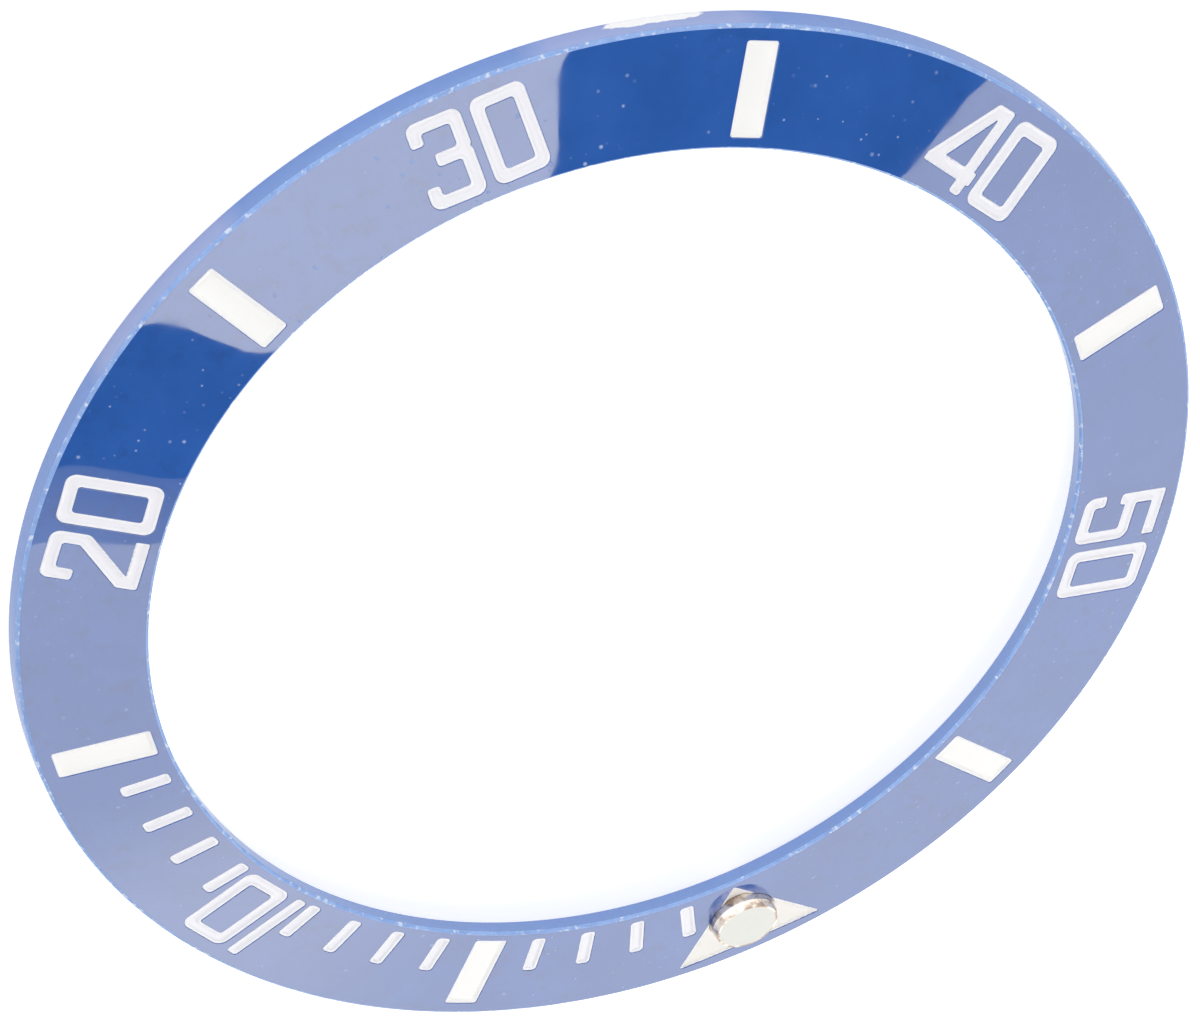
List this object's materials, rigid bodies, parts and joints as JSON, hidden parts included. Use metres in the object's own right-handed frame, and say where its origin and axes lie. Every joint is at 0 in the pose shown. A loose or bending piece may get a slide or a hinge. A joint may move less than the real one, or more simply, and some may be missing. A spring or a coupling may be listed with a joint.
{
  "type": "watch bezel insert",
  "caption": "Dished blue ring with a sixty minute diving scale inlaid in white on its sloping front and a raised luminous pearl in its triangle.",
  "frame": {"origin": "middle of the flat seat face under the rim, on the ring's axis", "axes": "+Z along the ring's axis out through its front, +Y towards the twelve o'clock triangle, +X towards fifteen minutes"},
  "size_m": [0.038, 0.038, 0.002],
  "materials": {
    "blue_ceramic": "polished",
    "white_fill": "satin lacquer",
    "polished_steel": "polished",
    "lume": "satin"
  },
  "bodies": {
    "root": {"insert_ring": "blue_ceramic", "triangle_tip": "white_fill", "triangle_base": "white_fill", "minute_bar_05": "white_fill", "minute_bar_15": "white_fill", "minute_bar_25": "white_fill", "minute_bar_35": "white_fill", "minute_bar_45": "white_fill", "minute_bar_55": "white_fill", "numeral_10_one": "white_fill", "numeral_10_zero": "white_fill", "numeral_20_two": "white_fill", "numeral_20_zero": "white_fill", "numeral_30_three": "white_fill", "numeral_30_zero": "white_fill", "numeral_40_four": "white_fill", "numeral_40_zero": "white_fill", "numeral_50_five": "white_fill", "numeral_50_zero": "white_fill", "minute_tick_01": "white_fill", "minute_tick_02": "white_fill", "minute_tick_03": "white_fill", "minute_tick_04": "white_fill", "minute_tick_06": "white_fill", "minute_tick_07": "white_fill", "minute_tick_08": "white_fill", "minute_tick_09": "white_fill", "minute_tick_11": "white_fill", "minute_tick_12": "white_fill", "minute_tick_13": "white_fill", "minute_tick_14": "white_fill", "pearl_cup": "polished_steel", "pearl_lume": "lume"}
  },
  "joints": []
}
